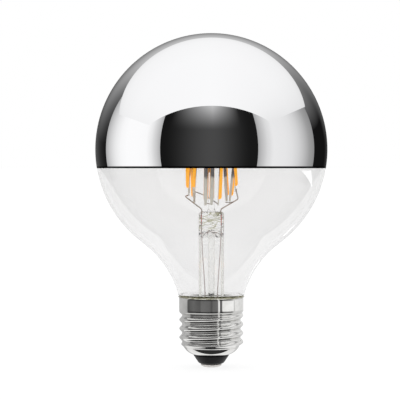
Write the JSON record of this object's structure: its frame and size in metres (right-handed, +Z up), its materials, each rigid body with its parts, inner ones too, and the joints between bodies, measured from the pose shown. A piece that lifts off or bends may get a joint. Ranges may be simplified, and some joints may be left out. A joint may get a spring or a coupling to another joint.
{
  "type": "globe lamp with a mirrored crown",
  "caption": "Clear glass globe lamp with a mirrored upper half, LED filaments on a glass stem inside, and a screw cap with a right-hand thread.",
  "frame": {"origin": "centre of the flat bottom of the centre contact, on the lamp's axis", "axes": "+Z up the lamp's axis, from the contact to the crown; -Y is the front in the picture and +X is its right"},
  "size_m": [0.095, 0.095, 0.1368],
  "materials": {
    "globe_glass": "clear blown glass, smooth",
    "mirror_coat": "bright silver mirror coat",
    "mount_glass": "clear drawn and pressed glass",
    "seal_wire": null,
    "lead_wire": null,
    "support_wire": "drawn nickel-iron wire",
    "filament_strip": "satin metal strip",
    "phosphor": "yellow-orange silicone loaded with phosphor, satin",
    "screw_shell": "nickel plate, bright with fine rolling marks",
    "basing_cement": "olive basing cement, matte",
    "insulator": "opaque black glass, glossy",
    "solder": null,
    "circuit_board": "green laminate, satin",
    "component_black": "black moulded package",
    "capacitor_can": "sleeved can, satin",
    "resistor_body": "coated body, satin",
    "feed_wire": "tinned wire"
  },
  "bodies": {
    "root": {"glass_globe": "globe_glass", "mirror_crown": "mirror_coat", "stem_tube": "mount_glass", "exhaust_tube": "mount_glass", "glass_post": "mount_glass", "seal_wire_left": "seal_wire", "seal_wire_right": "seal_wire", "lead_wire_left": "lead_wire", "lead_wire_right": "lead_wire", "lead_arm_left": "support_wire", "lead_arm_right": "support_wire", "head_wire_1": "support_wire", "head_wire_2": "support_wire", "head_wire_3": "support_wire", "head_wire_4": "support_wire", "head_wire_5": "support_wire", "foot_wire_1": "support_wire", "foot_wire_2": "support_wire", "foot_wire_3": "support_wire", "foot_wire_4": "support_wire", "foot_bridge_left": "support_wire", "foot_bridge_right": "support_wire", "filament_strip_1": "filament_strip", "filament_strip_2": "filament_strip", "filament_strip_3": "filament_strip", "filament_strip_4": "filament_strip", "filament_strip_5": "filament_strip", "filament_strip_6": "filament_strip", "filament_strip_7": "filament_strip", "filament_strip_8": "filament_strip", "filament_strip_9": "filament_strip", "filament_strip_10": "filament_strip", "filament_phosphor_1": "phosphor", "filament_phosphor_2": "phosphor", "filament_phosphor_3": "phosphor", "filament_phosphor_4": "phosphor", "filament_phosphor_5": "phosphor", "filament_phosphor_6": "phosphor", "filament_phosphor_7": "phosphor", "filament_phosphor_8": "phosphor", "filament_phosphor_9": "phosphor", "filament_phosphor_10": "phosphor", "screw_shell": "screw_shell", "basing_cement": "basing_cement", "insulator": "insulator", "centre_contact": "solder", "driver_board": "circuit_board", "rectifier": "component_black", "capacitor": "capacitor_can", "driver_chip": "component_black", "fuse_resistor": "resistor_body", "shell_feed_wire": "feed_wire", "contact_feed_wire": "feed_wire"}
  },
  "joints": []
}
